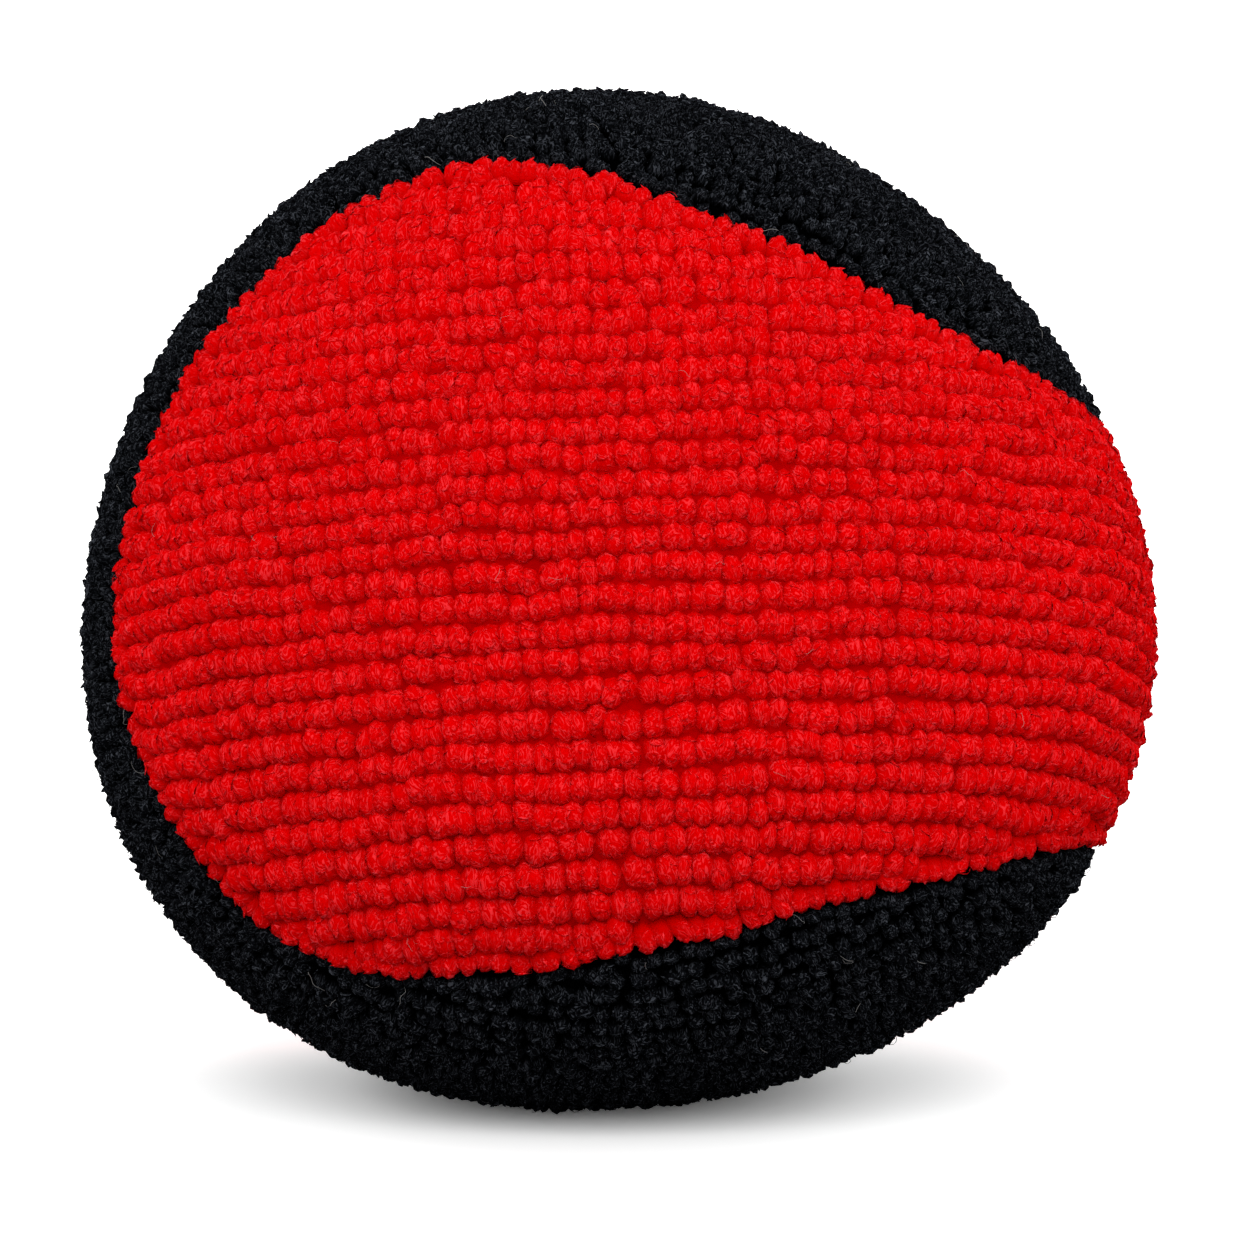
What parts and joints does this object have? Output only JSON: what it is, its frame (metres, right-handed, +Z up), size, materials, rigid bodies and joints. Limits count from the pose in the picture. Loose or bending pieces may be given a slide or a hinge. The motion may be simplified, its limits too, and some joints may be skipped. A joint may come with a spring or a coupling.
{
  "type": "grip ball",
  "caption": "Hand-sized cloth grip ball of two interlocking panels of looped pile, red and black, sewn over a cotton pouch of absorbent granules, with a flat spot to rest on.",
  "frame": {"origin": "on the surface that the ball rests on, under the middle of its width and depth", "axes": "+X to the right across the ball's width, +Y from the front lobe to the back one, +Z up"},
  "size_m": [0.085, 0.0764, 0.0792],
  "materials": {
    "red_pile": "rows of looped microfibre pile, matte",
    "black_pile": "looped microfibre pile, matte",
    "black_thread": "polyester sewing thread, slight sheen",
    "pouch_cotton": "plain woven cotton, matte",
    "cotton_thread": "cotton sewing thread, matte",
    "granules": "packed absorbent clay granules, matte"
  },
  "bodies": {
    "root": {"red_cover_panel": "red_pile", "black_cover_panel": "black_pile", "cover_needle_thread": "black_thread", "cover_bobbin_thread": "black_thread", "cover_closing_thread": "black_thread", "pouch_front_panel": "pouch_cotton", "pouch_back_panel": "pouch_cotton", "pouch_needle_thread": "cotton_thread", "pouch_bobbin_thread": "cotton_thread", "pouch_closing_thread": "cotton_thread", "absorbent_fill": "granules"}
  },
  "joints": []
}
